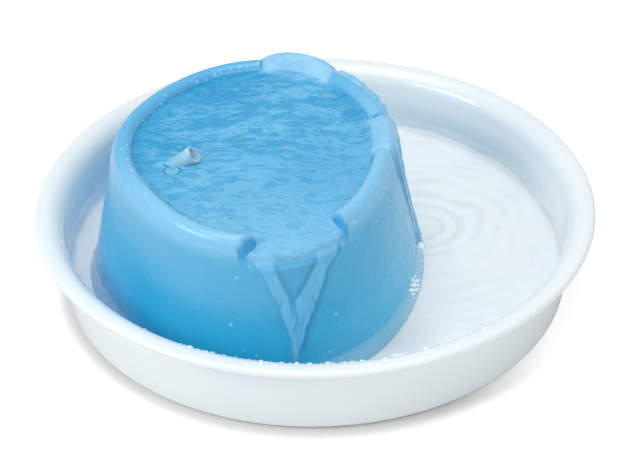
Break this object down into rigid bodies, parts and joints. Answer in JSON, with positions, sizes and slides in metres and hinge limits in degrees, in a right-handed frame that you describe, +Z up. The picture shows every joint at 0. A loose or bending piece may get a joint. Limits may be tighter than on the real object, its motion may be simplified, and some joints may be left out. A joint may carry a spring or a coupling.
{
  "type": "pet water fountain",
  "caption": "Round white drinking bowl with an off-centre blue fountain dome: a pump lifts filtered water to a basin that spills back into the bowl.",
  "frame": {"origin": "middle of the bowl's footprint, at the height of the feet's undersides", "axes": "+Z up; the dome stands off-centre towards -X; +X, -Y and +Y face the right, front and back spillways"},
  "size_m": [0.3, 0.3, 0.0948],
  "materials": {
    "bowl_plastic": "gloss white",
    "dome_plastic": "gloss blue",
    "soft_pad": "soft matte grey",
    "grommet_rubber": "satin pale blue",
    "hose_rubber": "satin translucent white",
    "nozzle_rubber": "satin off-white",
    "pump_plastic": "fine matte black",
    "cover_plastic": "satin dark grey",
    "dial_plastic": "satin grey-blue",
    "black_rubber": "soft black",
    "stator_steel": "rolled, laminated",
    "bobbin_plastic": "natural cream",
    "copper_wire": "enamelled wire",
    "potting_resin": "poured black resin",
    "shaft_ceramic": "ground white",
    "ferrite": "sintered dark grey",
    "impeller_plastic": "satin white",
    "foam": "open-cell foam",
    "filter_plastic": "satin white",
    "fleece": "needled fleece",
    "carbon": "loose granules"
  },
  "bodies": {
    "base": {"bowl": "bowl_plastic", "bowl_feet": "soft_pad"},
    "dome": {"fountain_dome": "dome_plastic", "nozzle_grommet": "grommet_rubber", "riser_hose": "hose_rubber"},
    "nozzle": {"nozzle": "nozzle_rubber"},
    "pump": {"pump_housing": "pump_plastic", "pump_back": "pump_plastic", "cord_gland": "black_rubber", "suction_cups": "black_rubber", "stator_core": "stator_steel", "coil_bobbin": "bobbin_plastic", "coil_winding": "copper_wire", "potting": "potting_resin", "rear_bush": "black_rubber", "rotor_shaft": "shaft_ceramic"},
    "rotor": {"rotor_magnet": "ferrite", "impeller": "impeller_plastic"},
    "chamber_cover": {"chamber_cover": "cover_plastic", "chamber_seal": "black_rubber", "front_bush": "black_rubber"},
    "intake_cover": {"intake_cover": "cover_plastic", "intake_foam": "foam"},
    "flow_dial": {"flow_dial": "dial_plastic"},
    "filter": {"filter_frame": "filter_plastic", "filter_grille": "filter_plastic", "filter_fleece": "fleece", "carbon_fill": "carbon"}
  },
  "joints": [
    {"name": "dome_lift", "type": "slide", "parent": "base", "child": "dome", "axis": [0, 0, 1], "range_m": [0, 0.12]},
    {"name": "nozzle_swivel", "type": "hinge", "parent": "dome", "child": "nozzle", "pos_m": [-0.07583, -0.02178, 0.072], "axis": [0, 0, 1], "range_deg": [-120, 120]},
    {"name": "pump_lift", "type": "slide", "parent": "base", "child": "pump", "axis": [0, 0, 1], "range_m": [0, 0.005]},
    {"name": "rotor_spin", "type": "hinge", "parent": "pump", "child": "rotor", "pos_m": [-0.06683, -0.02178, 0.0228], "axis": [1, 0, 0], "continuous": true},
    {"name": "chamber_twist", "type": "hinge", "parent": "pump", "child": "chamber_cover", "pos_m": [-0.08683, -0.02178, 0.0228], "axis": [1, 0, 0], "range_deg": [0, 30]},
    {"name": "intake_slide", "type": "slide", "parent": "pump", "child": "intake_cover", "axis": [-1, 0, 0], "range_m": [0, 0.008]},
    {"name": "dial_turn", "type": "hinge", "parent": "intake_cover", "child": "flow_dial", "pos_m": [-0.09803, -0.02178, 0.0228], "axis": [1, 0, 0], "range_deg": [0, 60]},
    {"name": "filter_lift", "type": "slide", "parent": "base", "child": "filter", "axis": [0, 0, 1], "range_m": [0, 0.024]}
  ]
}
